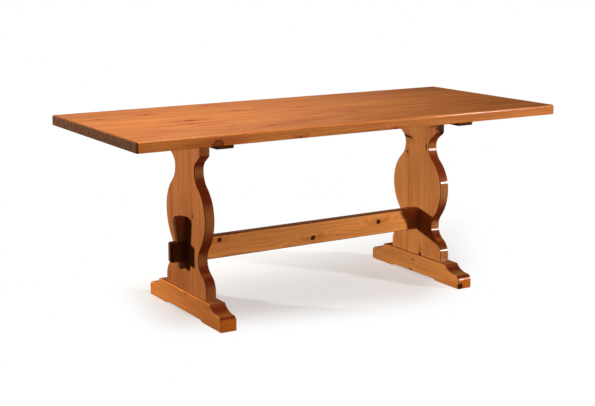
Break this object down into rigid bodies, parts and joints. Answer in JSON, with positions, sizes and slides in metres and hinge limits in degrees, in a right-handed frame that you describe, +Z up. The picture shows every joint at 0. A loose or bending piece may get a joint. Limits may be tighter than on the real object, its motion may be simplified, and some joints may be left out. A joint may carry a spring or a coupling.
{
  "type": "refectory table",
  "caption": "Pine refectory table with a glued-board top on vase-shaped trestles and a stretcher held by wedged through tenons.",
  "frame": {"origin": "on the floor under the middle of the top", "axes": "+X along the length of the top, +Y across it towards the back, +Z up"},
  "size_m": [2, 0.87, 0.8],
  "materials": {
    "top_pine": "satin varnish",
    "frame_pine": "satin varnish",
    "wedge_pine": "satin varnish",
    "screw_steel": "zinc plated"
  },
  "bodies": {
    "table": {"top_board_1": "top_pine", "top_board_2": "top_pine", "top_board_3": "top_pine", "top_board_4": "top_pine", "top_board_5": "top_pine", "left_foot": "frame_pine", "left_upright_front_board": "frame_pine", "left_upright_centre_board": "frame_pine", "left_upright_back_board": "frame_pine", "left_batten": "frame_pine", "left_batten_screws": "screw_steel", "right_foot": "frame_pine", "right_upright_front_board": "frame_pine", "right_upright_centre_board": "frame_pine", "right_upright_back_board": "frame_pine", "right_batten": "frame_pine", "right_batten_screws": "screw_steel", "stretcher": "frame_pine"},
    "left_wedge_body": {"left_wedge": "wedge_pine"},
    "right_wedge_body": {"right_wedge": "wedge_pine"}
  },
  "joints": [
    {"name": "left_wedge_slide", "type": "slide", "parent": "table", "child": "left_wedge_body", "axis": [0, 0, 1], "range_m": [0, 0.12]},
    {"name": "right_wedge_slide", "type": "slide", "parent": "table", "child": "right_wedge_body", "axis": [0, 0, 1], "range_m": [0, 0.12]}
  ]
}
